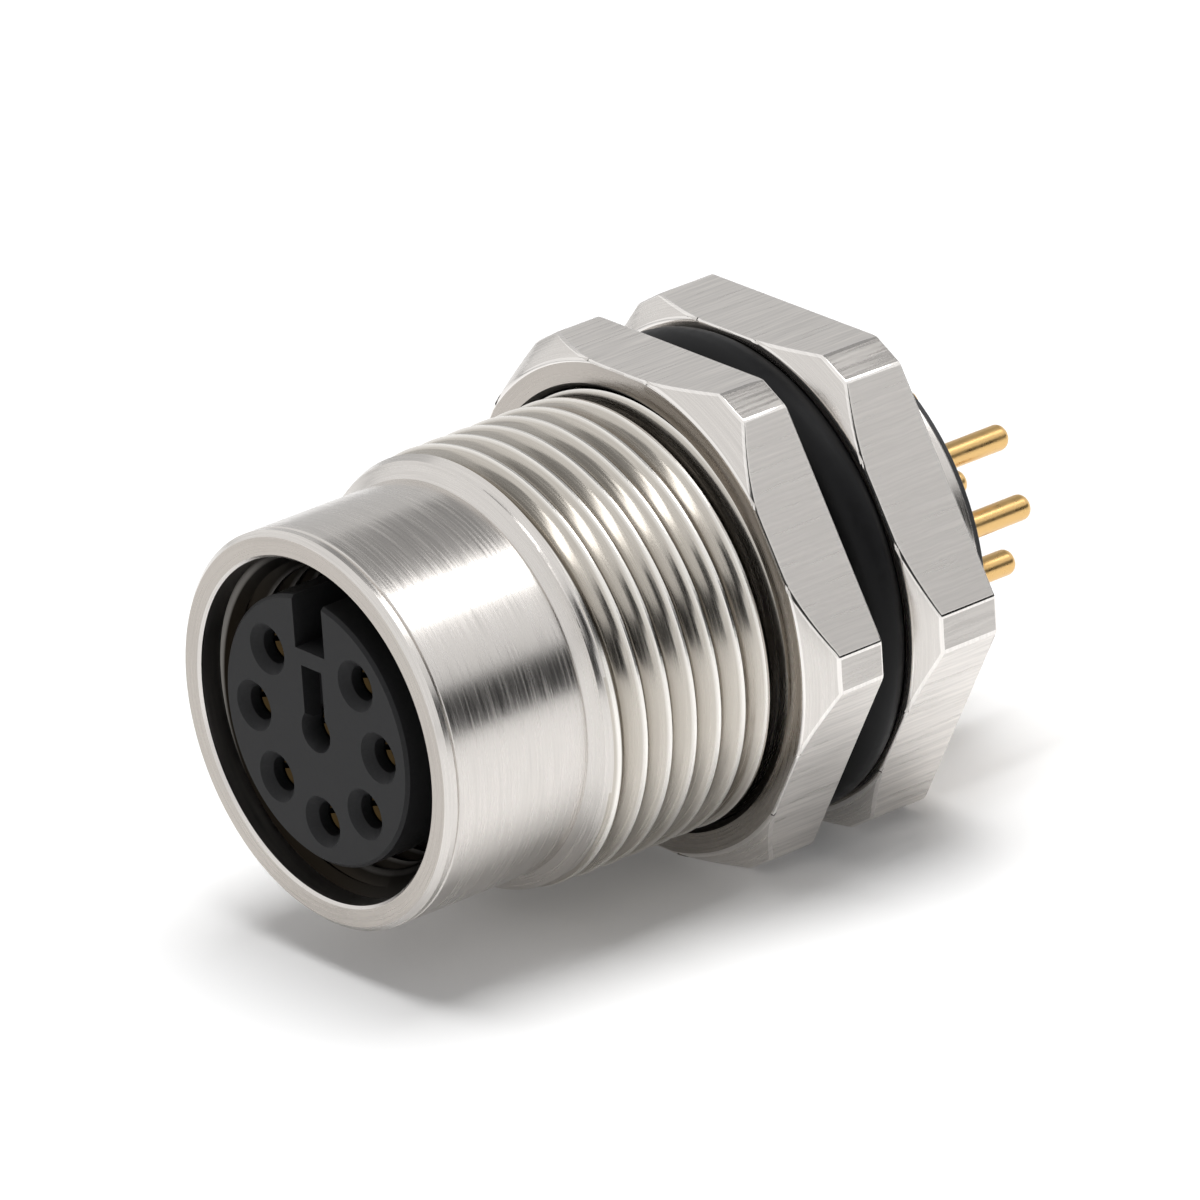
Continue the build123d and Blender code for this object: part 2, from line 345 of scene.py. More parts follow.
def turn(name, outline, steps):
    """A turned solid: a closed outline of (radius, y) points spun about the Y axis."""
    piece = trace(name, outline)
    edit(piece)
    bpy.ops.mesh.select_all(action="SELECT")
    bpy.ops.mesh.spin(steps=steps, angle=FULL_TURN, center=(0, 0, 0), axis=(0, 1, 0))
    bpy.ops.mesh.select_all(action="SELECT")
    bpy.ops.mesh.remove_doubles(threshold=MERGE_DISTANCE)
    bpy.ops.mesh.normals_make_consistent(inside=False)
    bpy.ops.object.mode_set(mode="OBJECT")
    return piece


def apply_modifier(piece, modifier):
    """Applies one modifier of a piece."""
    select_only(piece)
    bpy.ops.object.modifier_apply(modifier=modifier.name)


def carve(piece, *cutters):
    """Takes closed cutters out of a piece, and deletes the cutters."""
    for cutter in cutters:
        modifier = piece.modifiers.new("carve", "BOOLEAN")
        modifier.operation = "DIFFERENCE"
        modifier.solver = "EXACT"
        modifier.object = cutter
        apply_modifier(piece, modifier)
        bpy.data.objects.remove(cutter)


def groove_cutter(name, outline, pitch, turns, steps):
    """A closed helical cutter: an outline of (radius, y) points screwed along the Y axis."""
    cutter = trace(name, outline)
    modifier = cutter.modifiers.new("helix", "SCREW")
    modifier.axis = "Y"
    modifier.angle = FULL_TURN
    modifier.screw_offset = pitch
    modifier.iterations = turns
    modifier.steps = steps
    modifier.render_steps = steps
    modifier.use_smooth_shade = False
    apply_modifier(cutter, modifier)
    middle = sum(y for radius, y in outline) / len(outline) + pitch * turns / 2
    for front in (True, False):
        edit(cutter)
        bpy.ops.mesh.select_all(action="DESELECT")
        bpy.ops.mesh.select_non_manifold()
        bpy.ops.object.mode_set(mode="OBJECT")
        for vertex in cutter.data.vertices:
            if vertex.select and (vertex.co.y < middle) != front:
                vertex.select = False
        bpy.ops.object.mode_set(mode="EDIT")
        bpy.ops.mesh.edge_face_add()
    bpy.ops.mesh.select_all(action="SELECT")
    bpy.ops.mesh.normals_make_consistent(inside=False)
    bpy.ops.object.mode_set(mode="OBJECT")
    return cutter


def scoop(crest_radius, root_radius, half_open, y):
    """Outline of a cutter for a broad flat valley between two thin crests, centred at y."""
    depth = crest_radius - root_radius
    clear = 0.3 * MM
    points = 14
    outline = []
    for index in range(points + 1):
        share = math.sin(math.pi / 2 * (2 * index / points - 1))
        outline.append((root_radius + depth * share**4, y + half_open * share))
    run = clear * half_open / (4 * depth)
    outline.append((crest_radius + clear, y + half_open + run))
    outline.append((crest_radius + clear, y - half_open - run))
    return outline


def inner_valley(root_radius, crest_radius, start, root_width, flank_run):
    """Outline of a cutter for one valley of an inner thread, whose root starts at y = start."""
    inside = crest_radius - 0.2 * MM
    return [
        (root_radius, start),
        (root_radius, start + root_width),
        (inside, start + root_width + flank_run),
        (inside, start - flank_run),
    ]


def plane_hexagon(piece, flat_distance, corner_distance):
    """Planes six flats and then the six corners between them, about the Y axis."""
    edit(piece)
    for first, distance in ((90, flat_distance), (120, corner_distance)):
        for side in range(6):
            turned = math.radians(first + 60 * side)
            normal = Vector((math.cos(turned), 0, math.sin(turned)))
            bpy.ops.mesh.select_all(action="SELECT")
            bpy.ops.mesh.bisect(
                plane_co=normal * distance,
                plane_no=normal,
                use_fill=True,
                clear_outer=True,
                threshold=1e-7,
            )
    bpy.ops.object.mode_set(mode="OBJECT")


def round_edges(piece, width):
    """Rounds the edges of a piece's hexagon, once the slivers there are merged."""
    mesh = piece.data
    edit(piece)
    bpy.ops.mesh.select_all(action="DESELECT")
    bpy.ops.object.mode_set(mode="OBJECT")
    for vertex in mesh.vertices:
        vertex.select = from_axis(vertex.co) > PLANED_RADIUS
    bpy.ops.object.mode_set(mode="EDIT")
    bpy.ops.mesh.remove_doubles(threshold=SLIVER)
    bpy.ops.object.mode_set(mode="OBJECT")
    normals_at = {}
    for polygon in mesh.polygons:
        for key in polygon.edge_keys:
            normals_at.setdefault(key, []).append(polygon.normal.copy())
    edit(piece)
    bpy.ops.mesh.select_mode(type="EDGE")
    bpy.ops.mesh.select_all(action="DESELECT")
    bpy.ops.object.mode_set(mode="OBJECT")
    for edge in mesh.edges:
        normals = normals_at.get(edge.key, [])
        if len(normals) == 2:
            bend = normals[0].angle(normals[1], 0)
            nearest = min(from_axis(mesh.vertices[index].co) for index in edge.vertices)
            edge.select = nearest > PLANED_RADIUS and bend > LEAST_BEND
    bpy.ops.object.mode_set(mode="EDIT")
    bpy.ops.mesh.bevel(offset=width, segments=2, profile=0.5, clamp_overlap=False)
    bpy.ops.object.mode_set(mode="OBJECT")


def weight_normals(piece):
    """Keeps broad faces flat up to their rounded edges."""
    modifier = piece.modifiers.new("weighted", "WEIGHTED_NORMAL")
    modifier.keep_sharp = True
    apply_modifier(piece, modifier)


def box_cutter(name, size, centre):
    """A rectangular cutter."""
    to_object_mode()
    bpy.ops.mesh.primitive_cube_add(size=1, location=centre)
    cutter = bpy.context.object
    cutter.name = name
    cutter.scale = size
    bpy.ops.object.transform_apply(location=True, rotation=True, scale=True)
    return cutter


def shade(piece, degrees=30):
    """Smooths a piece's faces where they meet at less than an angle."""
    select_only(piece)
    bpy.ops.object.shade_smooth_by_angle(angle=math.radians(degrees))


def dress(piece, body, node, finish):
    """Gives a finished piece its finish, its body and the frame node that it stands for."""
    piece.data.materials.clear()
    piece.data.materials.append(bpy.data.materials[finish])
    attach(piece, body)
    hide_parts(node)


def move_across(piece, x, z):
    """Moves a piece across the axis and leaves its object at the origin."""
    select_only(piece)
    piece.location = (x, 0, z)
    bpy.ops.object.transform_apply(location=True, rotation=False, scale=False)


def copy_piece(piece, name, x, z):
    """A copy with a mesh of its own, moved across the axis."""
    select_only(piece)
    bpy.ops.object.duplicate(linked=False)
    copy = bpy.context.object
    copy.name = name
    move_across(copy, x, z)
    return copy


def contact_places(sizes):
    """(x, z) of each contact: round the circle from beside the keyway, then the centre."""
    places = []
    for step in range(1, sizes.circle_contacts + 1):
        turned = math.pi / 2 - step * sizes.step_angle
        places.append((sizes.circle_radius * math.cos(turned), sizes.circle_radius * math.sin(turned)))
    places.append((0.0, 0.0))
    return places


class Nodes:
    """Short ways to add and link nodes in one tree."""

    def __init__(self, tree):
        self.tree = tree

    def add(self, kind):
        """A new node."""
        return self.tree.nodes.new(kind)

    def link(self, source, target):
        """Links an output to an input."""
        self.tree.links.new(source, target)

    def give(self, target, value):
        """Sets an input to a value, or links it where the value is an output."""
        if isinstance(value, bpy.types.NodeSocket):
            self.link(value, target)
        else:
            target.default_value = value

    def math(self, operation, *values):
        """A Math node on outputs or numbers; returns its output."""
        node = self.add("ShaderNodeMath")
        node.operation = operation
        for target, value in zip(node.inputs, values):
            self.give(target, value)
        return node.outputs[0]

    def place(self):
        """Place on the piece, in Object coordinates."""
        return self.add("ShaderNodeTexCoord").outputs["Object"]

    def split(self, place):
        """The x, y and z of a place."""
        node = self.add("ShaderNodeSeparateXYZ")
        self.link(place, node.inputs[0])
        return node.outputs

    def join(self, *values):
        """A place made of x, y and z."""
        node = self.add("ShaderNodeCombineXYZ")
        for target, value in zip(node.inputs, values):
            self.give(target, value)
        return node.outputs[0]

    def from_axis(self, x, z):
        """Distance from the Y axis."""
        return self.math("SQRT", self.math("ADD", self.math("MULTIPLY", x, x), self.math("MULTIPLY", z, z)))

    def noise(self, place, scale=1.0, detail=2.0):
        """Noise from 0 to 1 over a place."""
        node = self.add("ShaderNodeTexNoise")
        self.give(node.inputs["Vector"], place)
        self.give(node.inputs["Scale"], scale)
        self.give(node.inputs["Detail"], detail)
        return node.outputs["Fac"]

    def mix(self, factor, first, second, blend="MIX"):
        """A mix of two colours."""
        node = self.add("ShaderNodeMix")
        node.data_type = "RGBA"
        node.blend_type = blend
        self.give(node.inputs["Factor"], factor)
        self.give(node.inputs["A"], first)
        self.give(node.inputs["B"], second)
        return node.outputs["Result"]

    def group(self, name, **values):
        """One of the shader groups with its own values; returns its output."""
        node = self.add("ShaderNodeGroup")
        node.node_tree = bpy.data.node_groups[name]
        for label, value in values.items():
            node.inputs[label.replace("_", " ")].default_value = value
        return node.outputs[0]


def new_group(name, inputs, output):
    """A shader group with number inputs {name: default}; returns its nodes and both its ends."""
    tree = bpy.data.node_groups.new(name, "ShaderNodeTree")
    for label, default in inputs.items():
        socket = tree.interface.new_socket(
            name=label, in_out="INPUT", socket_type="NodeSocketFloat"
        )
        socket.default_value = default
    tree.interface.new_socket(name=output, in_out="OUTPUT", socket_type="NodeSocketFloat")
    nodes = Nodes(tree)
    return nodes, nodes.add("NodeGroupInput").outputs, nodes.add("NodeGroupOutput").inputs


def turned_lines_group():
    """Fine lines that run round the Y axis, as a lathe leaves them."""
    inputs = {"Lines per Metre": 5000.0, "Around": 1.5, "Detail": 3.0}
    nodes, given, made = new_group("turned_lines", inputs, "Lines")
    x, y, z = nodes.split(nodes.place())
    radius = nodes.from_axis(x, z)
    safe_radius = nodes.math("MAXIMUM", radius, 1e-5)
    around_x = nodes.math("MULTIPLY", nodes.math("DIVIDE", x, safe_radius), given["Around"])
    around_z = nodes.math("MULTIPLY", nodes.math("DIVIDE", z, safe_radius), given["Around"])
    along = nodes.math("MULTIPLY", nodes.math("ADD", y, radius), given["Lines per Metre"])
    pattern = nodes.join(around_x, along, around_z)
    nodes.link(nodes.noise(pattern, detail=given["Detail"]), made["Lines"])


def thread_tone_group():
    """Place across a right-handed thread about the Y axis: 0 on a crest to 1 on the next."""
    whole_turns = 100
    valley_to_crest = 0.5
    nodes, given, made = new_group("thread_tone", {"Pitch": 0.001, "Valley": 0.0}, "Across")
    x, y, z = nodes.split(nodes.place())
    turn_share = nodes.math("DIVIDE", nodes.math("ARCTAN2", z, x), FULL_TURN)
    along = nodes.math("DIVIDE", nodes.math("SUBTRACT", y, given["Valley"]), given["Pitch"])
    turns = nodes.math("ADD", nodes.math("ADD", along, turn_share), whole_turns + valley_to_crest)
    nodes.link(nodes.math("FRACT", turns), made["Across"])


def brushed_flats_group():
    """Fine, slightly wavy lines along the Y axis on the flats of a hexagon."""
    inputs = {"Lines per Metre": 6000.0, "Along per Metre": 260.0, "Wave": 0.9, "Detail": 3.0}
    sway_scale = 1100.0
    shift_per_flat = 7.3
    nodes, given, made = new_group("brushed_flats", inputs, "Lines")
    place = nodes.place()
    x, y, z = nodes.split(place)
    round_axis = nodes.math("ARCTAN2", x, z)
    flat = nodes.math("ROUND", nodes.math("DIVIDE", round_axis, SIXTH_TURN))
    off_middle = nodes.math("SUBTRACT", round_axis, nodes.math("MULTIPLY", flat, SIXTH_TURN))
    across = nodes.math("MULTIPLY", nodes.from_axis(x, z), nodes.math("SINE", off_middle))
    lines = nodes.math("MULTIPLY", across, given["Lines per Metre"])
    wave = nodes.math("MULTIPLY", nodes.noise(place, sway_scale), given["Wave"])
    along = nodes.math("MULTIPLY", y, given["Along per Metre"])
    shift = nodes.math("MULTIPLY", flat, shift_per_flat)
    pattern = nodes.join(nodes.math("ADD", lines, wave), along, shift)
    nodes.link(nodes.noise(pattern, detail=given["Detail"]), made["Lines"])


def moulded_grain_group():
    """Fine random grain, as on a moulded face."""
    inputs = {"Grains per Metre": 9000.0, "Detail": 2.0}
    nodes, given, made = new_group("moulded_grain", inputs, "Grain")
    grain = nodes.noise(nodes.place(), given["Grains per Metre"], given["Detail"])
    nodes.link(grain, made["Grain"])


def new_material(name):
    """A new material; returns its nodes and its Principled BSDF."""
    material = bpy.data.materials.new(name)
    material.use_nodes = True
    return Nodes(material.node_tree), material.node_tree.nodes["Principled BSDF"]


def spread(nodes, noise, low, high):
    """Maps noise, which is mostly from 0.3 to 0.7, onto a range; returns the output."""
    node = nodes.add("ShaderNodeMapRange")
    labels = ("Value", "From Min", "From Max", "To Min", "To Max")
    for label, value in zip(labels, (noise, 0.3, 0.7, low, high)):
        nodes.give(node.inputs[label], value)
    return node.outputs["Result"]


def scaled(colour, factor):
    """A colour times a factor, for a colour input."""
    return (*[min(1, part * factor) for part in colour], 1)


def feed(nodes, shader, colour, roughness, height, depth):
    """Feeds a shader its colour, its roughness and the height of its bumps."""
    nodes.link(colour, shader.inputs["Base Color"])
    nodes.link(roughness, shader.inputs["Roughness"])
    node = nodes.add("ShaderNodeBump")
    node.inputs["Distance"].default_value = depth
    nodes.link(height, node.inputs["Height"])
    nodes.link(node.outputs["Normal"], shader.inputs["Normal"])


def thread_shade(nodes, colour, pitch, valley, tones):
    """Paints shade across a thread: a colour times the (place, grey) tones across it, warmer where they are
    darker.
    """
    node = nodes.add("ShaderNodeValToRGB")
    while len(node.color_ramp.elements) < len(tones):
        node.color_ramp.elements.new(0.5)
    for stop, (position, grey) in zip(node.color_ramp.elements, tones):
        stop.position = position
        stop.color = (grey, grey**1.08, grey**1.2, 1)
    nodes.link(nodes.group("thread_tone", Pitch=pitch, Valley=valley), node.inputs["Fac"])
    return nodes.mix(1.0, colour, node.outputs["Color"], "MULTIPLY")


def turned_nickel(name, colour, roughness=(0.17, 0.32), depth=0.0012 * MM, thread=None):
    """Nickel plating over turned brass, with lathe lines round the axis.

    A thread is its pitch, the y of a valley and the tones across it from crest to crest, which paint a
    highlight on each crest and shade behind it.
    """
    nodes, shader = new_material(name)
    fine = nodes.group("turned_lines", Lines_per_Metre=9500.0, Around=2.2, Detail=4.0)
    broad = nodes.group("turned_lines", Lines_per_Metre=1900.0, Around=1.6, Detail=2.0)
    height = nodes.math("ADD", fine, nodes.math("MULTIPLY", broad, 1.5))
    tone = nodes.mix(fine, scaled(colour, 0.8), scaled(colour, 1.14))
    if thread:
        tone = thread_shade(nodes, tone, *thread)
    shader.inputs["Metallic"].default_value = 1.0
    feed(nodes, shader, tone, spread(nodes, fine, *roughness), height, depth)


def brushed_nickel(name, colour, roughness=(0.26, 0.4), lines_per_metre=8000.0):
    """Nickel plating over milled flats, with fine lines along the axis."""
    nodes, shader = new_material(name)
    lines = nodes.group("brushed_flats", Lines_per_Metre=lines_per_metre, Along_per_Metre=260.0)
    tone = nodes.mix(lines, scaled(colour, 0.58), scaled(colour, 1.16))
    shader.inputs["Metallic"].default_value = 1.0
    feed(nodes, shader, tone, spread(nodes, lines, *roughness), lines, 0.0016 * MM)


def moulded_plastic(name, colour, roughness, grain, depth, specular=0.3):
    """Moulded plastic or rubber with a fine grain."""
    nodes, shader = new_material(name)
    grains = nodes.group("moulded_grain", Grains_per_Metre=grain)
    tone = nodes.mix(grains, scaled(colour, 0.75), scaled(colour, 1.25))
    dullness = spread(nodes, grains, roughness - 0.06, roughness + 0.06)
    shader.inputs["Specular IOR Level"].default_value = specular
    feed(nodes, shader, tone, dullness, grains, depth)


def plated_gold(name, colour):
    """Gold plating, bright on the tails and dark in the shade in front of the flange."""
    nodes, shader = new_material(name)
    grains = nodes.group("moulded_grain", Grains_per_Metre=2500.0)
    bright = nodes.mix(grains, scaled(colour, 0.92), scaled(colour, 1.05))
    in_front = nodes.math("LESS_THAN", nodes.split(nodes.place())["Y"], 0.0)
    tone = nodes.mix(in_front, bright, scaled(colour, 0.06))
    shader.inputs["Metallic"].default_value = 1.0
    feed(nodes, shader, tone, spread(nodes, grains, 0.26, 0.34), grains, 0.0008 * MM)


class RECEPTACLE_OT_finishes(bpy.types.Operator):
    """Makes the shared shader groups and every finish"""

    bl_idname = "receptacle.finishes"
    bl_label = "Finishes"

    def execute(self, context):
        turned_lines_group()
        thread_tone_group()
        brushed_flats_group()
        moulded_grain_group()
        colours = context.scene.receptacle_colours
        sizes = context.scene.receptacle_shell
        panel_valley = shell_low.y + sizes.sleeve_length + sizes.thread_pitch * sizes.thread_phase
        # Painted highlight on each crest and painted shade right behind it, lightening towards the next
        # crest
        panel_shade_tones = (
            (0.0, 1.0), (0.03, 1.0), (0.07, 0.1), (0.2, 0.33), (0.45, 0.52), (0.88, 0.64), (0.96, 1.0)
        )
        panel_thread = (sizes.thread_pitch, panel_valley, panel_shade_tones)
        bore_valley = shell_low.y + sizes.mouth_bore_depth
        # Painted highlights on the coupling thread's crests, painted shade in its valleys
        bore_light_and_shade_tones = ((0.0, 1.0), (0.05, 0.8), (0.1, 0.05), (0.88, 0.12), (0.96, 0.9))
        bore_thread = (sizes.coupling_pitch, bore_valley, bore_light_and_shade_tones)
        turned_nickel("turned_nickel", colours.nickel)
        # The flats' nickel is painted lighter: painted light
        brushed_nickel("brushed_nickel", colours.flats)
        # The corners' nickel is painted darker: painted shade
        brushed_nickel("milled_nickel", colours.corners, roughness=(0.22, 0.34), lines_per_metre=7500.0)
        # Panel thread: painted highlights on crests, painted shade behind them
        turned_nickel("threaded_nickel", colours.thread, thread=panel_thread)
        # Bores: nickel painted darker as painted shade, crests painted as highlights
        turned_nickel("bore_nickel", colours.bore, roughness=(0.3, 0.45), thread=bore_thread)
        # Nut's bore: rougher nickel, its colour painted nearly black as painted shade
        turned_nickel("shaded_nickel", colours.shaded, roughness=(0.35, 0.5))
        # Mouth wall: nickel painted darker, as painted shade
        turned_nickel("wall_nickel", colours.wall, roughness=(0.3, 0.45))
        # Front faces and rim: nickel painted darker, as painted shade
        turned_nickel("faced_nickel", colours.faces, roughness=(0.2, 0.36))
        # Rounded edges: real bevels, with nickel painted brighter as a painted highlight
        turned_nickel("edge_nickel", colours.edges, roughness=(0.08, 0.14), depth=0.0003 * MM)
        moulded_plastic("black_insert", colours.insert, 0.45, 9000.0, 0.002 * MM, specular=0.14)
        moulded_plastic("black_rubber", colours.rubber, 0.42, 2500.0, 0.003 * MM, specular=0.12)
        moulded_plastic("black_resin", colours.resin, 0.4, 1500.0, 0.01 * MM)
        moulded_plastic("black_plate", colours.plate, 0.45, 7000.0, 0.002 * MM)
        plated_gold("gold_plating", colours.gold)
        return {"FINISHED"}


def finish_faces(piece, cone_fall, bore_radius, bore_shade_finish, thread=None):
    """Gives the faces of a turned piece their finishes by their place and direction, most of them nickel
    with light or shade painted in.

    A thread is the y of its two ends, on a piece whose mouth has a plain wall too.
    """
    for finish in (
        "brushed_nickel",
        "milled_nickel",
        bore_shade_finish,
        "threaded_nickel",
        "edge_nickel",
        "wall_nickel",
        "faced_nickel",
    ):
        piece.data.materials.append(bpy.data.materials[finish])
    sizes = bpy.context.scene.receptacle_shell
    cone_reach = shell_high.x - sizes.face_radius
    cone_lean = cone_reach / math.hypot(cone_reach, cone_fall)
    face_start = sizes.thread_radius + 0.1 * MM
    thread_limit = sizes.thread_radius + 0.02 * MM
    wall_start = bore_radius - 0.06 * MM
    rim_end = shell_low.y + 0.01 * MM
    square_on = 0.99
    nearly_square_on = 0.95
    small_lean = 0.02
    for polygon in piece.data.polygons:
        normal = polygon.normal
        y = polygon.center.y
        radius = from_axis(polygon.center)
        side = math.degrees(math.atan2(normal.z, normal.x)) % 60
        planed = radius > PLANED_RADIUS and abs(normal.y) < small_lean
        turned = abs(normal.y) > square_on or abs(normal.y + cone_lean) < small_lean
        if planed and abs(side - 30) < 1:
            # Flats: nickel painted lighter, as painted light
            polygon.material_index = FLAT
        elif planed and (side < 1 or side > 59):
            # Corner facets: nickel painted darker, as painted shade
            polygon.material_index = CORNER
        elif radius > PLANED_RADIUS and not turned:
            # Rounded edges: nickel painted brighter, as a painted highlight
            polygon.material_index = EDGE
        elif normal.y < -square_on and (radius > face_start or y < rim_end):
            # Front faces and the mouth's rim: nickel painted darker, as painted shade
            polygon.material_index = FACE
        elif radius < bore_radius and normal.y > -nearly_square_on:
            # Bores and the mouth's plain wall: nickel painted darker, as painted shade
            polygon.material_index = WALL if thread and radius > wall_start else BORE
        elif thread and thread[0] < y < thread[1] and radius < thread_limit:
            # Panel thread: painted highlights on crests and painted shade behind them
            polygon.material_index = THREAD


class RECEPTACLE_OT_shell(bpy.types.Operator):
    """Turns the shell, planes its hex flange and cuts both threads"""

    bl_idname = "receptacle.shell"
    bl_label = "Shell"

    def execute(self, context):
        sizes = context.scene.receptacle_shell
        mouth, rear = shell_low.y, shell_high.y
        corner_radius, flat_distance = shell_high.x, shell_high.z
        overrun = 1.5
        cone_run = overrun * (corner_radius - sizes.face_radius)
        mouth_chamfer = 0.1 * MM
        groove = mouth + sizes.rim_groove_setback
        sleeve_end = mouth + sizes.sleeve_length
        relief_width = 0.12 * MM
        relief_depth = 0.07 * MM
        lead_root = sleeve_end + 0.25 * MM
        lead_end = sleeve_end + sizes.thread_lead
        first_crest = sizes.thread_radius - 0.05 * MM
        first_root = lead_end + 0.07 * MM
        second_crest = sizes.thread_radius - 0.03 * MM
        second_end = lead_end + 0.45 * MM
        full_thread = lead_end + 0.75 * MM
        neck_chamfer = sizes.thread_radius - sizes.neck_radius
        collar_chamfer = 0.15 * MM
        seat_chamfer = 0.05 * MM
        plate_seat = rear - sizes.plate_seat_depth
        shoulder = mouth + sizes.coupling_depth
        shoulder_rear = shoulder + sizes.shoulder_thickness
        coupling_start = mouth + sizes.mouth_bore_depth
        coupling_slope = sizes.mouth_bore_radius - sizes.coupling_crest_radius
        outline = [
            (sizes.mouth_bore_radius + mouth_chamfer, mouth),
            (sizes.sleeve_radius - sizes.rim_chamfer, mouth),
            (sizes.sleeve_radius, mouth + sizes.rim_chamfer),
            (sizes.sleeve_radius, groove),
            (sizes.sleeve_radius - sizes.rim_groove_depth, groove + sizes.rim_groove_width / 2),
            (sizes.sleeve_radius, groove + sizes.rim_groove_width),
            (sizes.sleeve_radius, sleeve_end - relief_width),
            (sizes.sleeve_radius - relief_depth, sleeve_end - relief_width / 2),
            (sizes.sleeve_radius, sleeve_end),
            (sizes.thread_root_radius, lead_root),
            (first_crest, lead_end),
            (sizes.thread_root_radius, first_root),
            (second_crest, second_end),
            (sizes.thread_radius, full_thread),
            (sizes.thread_radius, -sizes.neck_length - neck_chamfer),
            (sizes.neck_radius, -sizes.neck_length),
            (sizes.neck_radius, sizes.seal_seat_depth),
            (sizes.seal_seat_radius, sizes.seal_seat_depth),
            (sizes.seal_seat_radius, 0),
            (sizes.face_radius, 0),
            (sizes.face_radius + cone_run, overrun * sizes.flange_bevel),
            (sizes.face_radius + cone_run, sizes.flange_thickness),
            (sizes.collar_radius, sizes.flange_thickness),
            (sizes.collar_radius, rear - collar_chamfer),
            (sizes.collar_radius - collar_chamfer, rear),
            (sizes.plate_seat_radius + seat_chamfer, rear),
            (sizes.plate_seat_radius, rear - seat_chamfer),
            (sizes.plate_seat_radius, plate_seat),
            (sizes.rear_bore_radius, plate_seat),
            (sizes.rear_bore_radius, shoulder_rear),
            (sizes.shoulder_radius, shoulder_rear),
            (sizes.shoulder_radius, shoulder),
            (sizes.coupling_crest_radius, shoulder),
            (sizes.coupling_crest_radius, coupling_start + coupling_slope),
            (sizes.mouth_bore_radius, coupling_start),
            (sizes.mouth_bore_radius, mouth + mouth_chamfer),
        ]
        shell = turn("shell_turned", outline, sizes.steps)
        plane_hexagon(shell, flat_distance, corner_radius)
        half_open = (sizes.thread_pitch - sizes.thread_crest_width) / 2
        thread_start = sleeve_end - sizes.thread_pitch * (1 - sizes.thread_phase)
        panel_valley = scoop(sizes.thread_radius, sizes.thread_root_radius, half_open, thread_start)
        thread_turns = 11
        panel_groove = groove_cutter(
            "panel_groove", panel_valley, sizes.thread_pitch, thread_turns, sizes.steps // 2
        )
        root_width = 0.12 * MM
        flank_run = 0.5 * MM
        coupling_valley = inner_valley(
            sizes.coupling_root_radius,
            sizes.coupling_crest_radius,
            coupling_start,
            root_width,
            flank_run,
        )
        coupling_turns = 8
        coupling_groove = groove_cutter(
            "coupling_groove", coupling_valley, sizes.coupling_pitch, coupling_turns, sizes.steps // 2
        )
        carve(shell, panel_groove, coupling_groove)
        round_edges(shell, sizes.edge_round)
        dress(shell, "receptacle", "shell", "turned_nickel")
        bore_limit = sizes.mouth_bore_radius + 0.02 * MM
        thread_ends = (lead_end, -sizes.neck_length)
        # Inside the shell's bores the nickel is painted darker: painted shade
        finish_faces(shell, sizes.flange_bevel, bore_limit, "bore_nickel", thread_ends)
        shade(shell)
        weight_normals(shell)
        return {"FINISHED"}


class RECEPTACLE_OT_nut(bpy.types.Operator):
    """Turns the nut's blank, planes its hexagon and cuts its thread"""

    bl_idname = "receptacle.nut"
    bl_label = "Hex nut"

    def execute(self, context):
        sizes = context.scene.receptacle_nut
        shell_sizes = context.scene.receptacle_shell
        front, rear = nut_low.y, nut_high.y
        face_radius = shell_sizes.face_radius
        corner_radius, flat_distance = nut_high.x, nut_high.z
        overrun = 1.5
        cone_run = overrun * (corner_radius - face_radius)
        outline = [
            (sizes.bore_radius + sizes.countersink, front),
            (face_radius, front),
            (face_radius + cone_run, front + overrun * sizes.bevel),
            (face_radius + cone_run, rear),
            (sizes.bore_radius + sizes.rear_chamfer, rear),
            (sizes.bore_radius, rear - sizes.rear_chamfer),
            (sizes.bore_radius, front + sizes.countersink),
        ]
        nut = turn("hex_nut_turned", outline, shell_sizes.steps)
        plane_hexagon(nut, flat_distance, corner_radius)
        root_width = 0.1 * MM
        flank_run = 0.25 * MM
        valley = inner_valley(
            sizes.root_radius, sizes.bore_radius, front - root_width / 2, root_width, flank_run
        )
        turns = 4
        groove = groove_cutter(
            "nut_groove", valley, shell_sizes.thread_pitch, turns, shell_sizes.steps // 2
        )
        carve(nut, groove)
        round_edges(nut, shell_sizes.edge_round)
        dress(nut, "nut", "hex_nut", "turned_nickel")
        # The nut's bore and thread get painted shade, nickel darkened nearly to black
        finish_faces(nut, sizes.bevel, sizes.bore_radius + sizes.countersink, "shaded_nickel")
        shade(nut)
        weight_normals(nut)
        return {"FINISHED"}


class RECEPTACLE_OT_seal(bpy.types.Operator):
    """Moulds the ring seal with its parting line"""

    bl_idname = "receptacle.seal"
    bl_label = "Ring seal"

    def execute(self, context):
        sizes = context.scene.receptacle_seal
        middle = (seal_low + seal_high) / 2
        section = (seal_high.y - seal_low.y) / 2
        ring = seal_high.x - section
        outline = []
        points = 48
        for index in range(points):
            turned = FULL_TURN * index / points
            reach = section
            if index in (1, points - 1):
                reach = section - sizes.parting_line / 2
            outline.append((ring + reach * math.cos(turned), middle.y + reach * math.sin(turned)))
        seal = turn("panel_seal_ring", outline, MOULDED_STEPS)
        dress(seal, "receptacle", "panel_seal", "black_rubber")
        shade(seal, 60)
        return {"FINISHED"}


